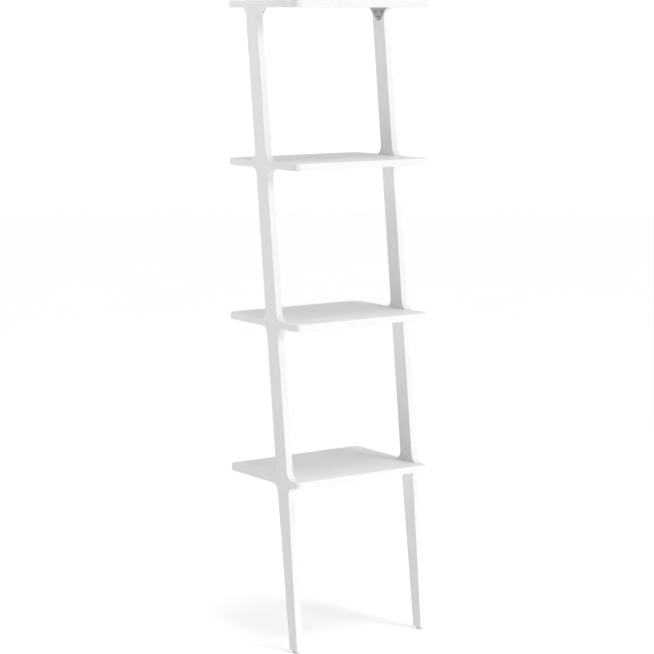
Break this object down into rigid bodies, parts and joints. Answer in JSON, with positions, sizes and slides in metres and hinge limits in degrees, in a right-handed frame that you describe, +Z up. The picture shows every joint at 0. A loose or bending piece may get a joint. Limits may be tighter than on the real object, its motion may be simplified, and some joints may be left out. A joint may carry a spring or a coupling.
{
  "type": "ladder shelf",
  "caption": "Leaning ladder shelf in white lacquered wood: equal round-cornered boards on straight sloping legs with flared joints, angle brackets under the top board",
  "frame": {"origin": "on the floor, under the middle of the boards: the centre of the bottom of the bounding box", "axes": "+X to the right as seen from the room, +Y towards the wall, +Z up"},
  "size_m": [0.4, 0.305, 1.591],
  "materials": {
    "white_lacquer": "satin white lacquer over wood board",
    "satin_steel": "satin",
    "zinc_screw": "bright zinc plate",
    "beech": "bare",
    "pale_nylon": "matte"
  },
  "bodies": {
    "root": {"board_bottom": "white_lacquer", "board_lower": "white_lacquer", "board_top": "white_lacquer", "board_upper": "white_lacquer", "bracket_left": "satin_steel", "bracket_right": "satin_steel", "bracket_screw_left_back": "zinc_screw", "bracket_screw_left_front": "zinc_screw", "bracket_screw_left_tip": "zinc_screw", "bracket_screw_right_back": "zinc_screw", "bracket_screw_right_front": "zinc_screw", "bracket_screw_right_tip": "zinc_screw", "dowel_bottom_left_back": "beech", "dowel_bottom_left_front": "beech", "dowel_bottom_right_back": "beech", "dowel_bottom_right_front": "beech", "dowel_lower_left_back": "beech", "dowel_lower_left_front": "beech", "dowel_lower_right_back": "beech", "dowel_lower_right_front": "beech", "dowel_top_left": "beech", "dowel_top_right": "beech", "dowel_upper_left_back": "beech", "dowel_upper_left_front": "beech", "dowel_upper_right_back": "beech", "dowel_upper_right_front": "beech", "flange_screw_left_back": "zinc_screw", "flange_screw_left_front": "zinc_screw", "flange_screw_right_back": "zinc_screw", "flange_screw_right_front": "zinc_screw", "glide_left": "pale_nylon", "glide_right": "pale_nylon", "glide_screw_left": "zinc_screw", "glide_screw_right": "zinc_screw", "keyhole_plate_left": "satin_steel", "keyhole_plate_right": "satin_steel", "keyhole_screw_left_inner": "zinc_screw", "keyhole_screw_left_outer": "zinc_screw", "keyhole_screw_right_inner": "zinc_screw", "keyhole_screw_right_outer": "zinc_screw", "leg_foot_left": "white_lacquer", "leg_foot_right": "white_lacquer", "leg_lower_left": "white_lacquer", "leg_lower_right": "white_lacquer", "leg_top_left": "white_lacquer", "leg_top_right": "white_lacquer", "leg_upper_left": "white_lacquer", "leg_upper_right": "white_lacquer"}
  },
  "joints": []
}
